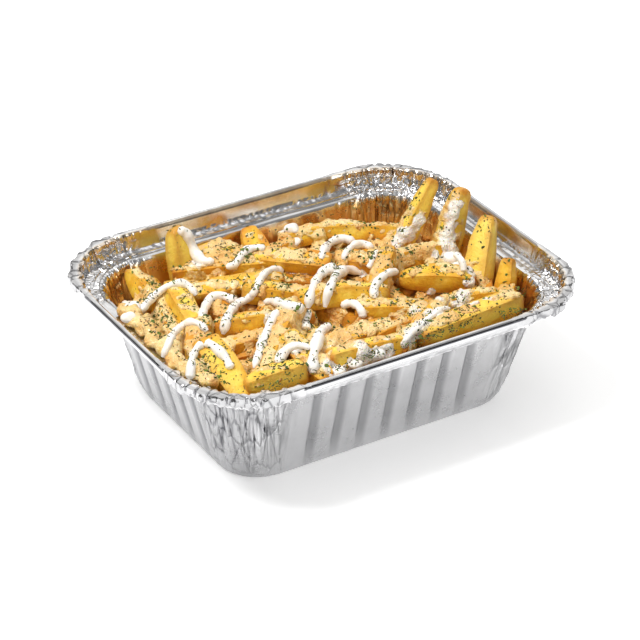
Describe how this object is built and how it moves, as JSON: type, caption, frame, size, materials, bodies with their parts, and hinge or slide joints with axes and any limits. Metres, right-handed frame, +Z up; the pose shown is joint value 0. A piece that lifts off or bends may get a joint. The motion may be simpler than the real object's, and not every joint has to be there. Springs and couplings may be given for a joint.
{
  "type": "loaded fries in a foil tray",
  "caption": "Shallow rectangular foil tray with round corners, fluted walls and an upright lip, filled with thick fries under sauce, white drizzle and dried herbs.",
  "frame": {"origin": "middle of the tray's flat base, on the surface it stands on", "axes": "+X along the tray's long side, +Y along its short side, +Z up out of the tray"},
  "size_m": [0.147, 0.1176, 0.0557],
  "materials": {
    "foil": "thin bright rolled aluminium, satin on the walls, creased and shinier at the corners",
    "fries": null
  },
  "bodies": {
    "root": {"foil_tray": "foil", "loaded_fries": "fries"}
  },
  "joints": []
}
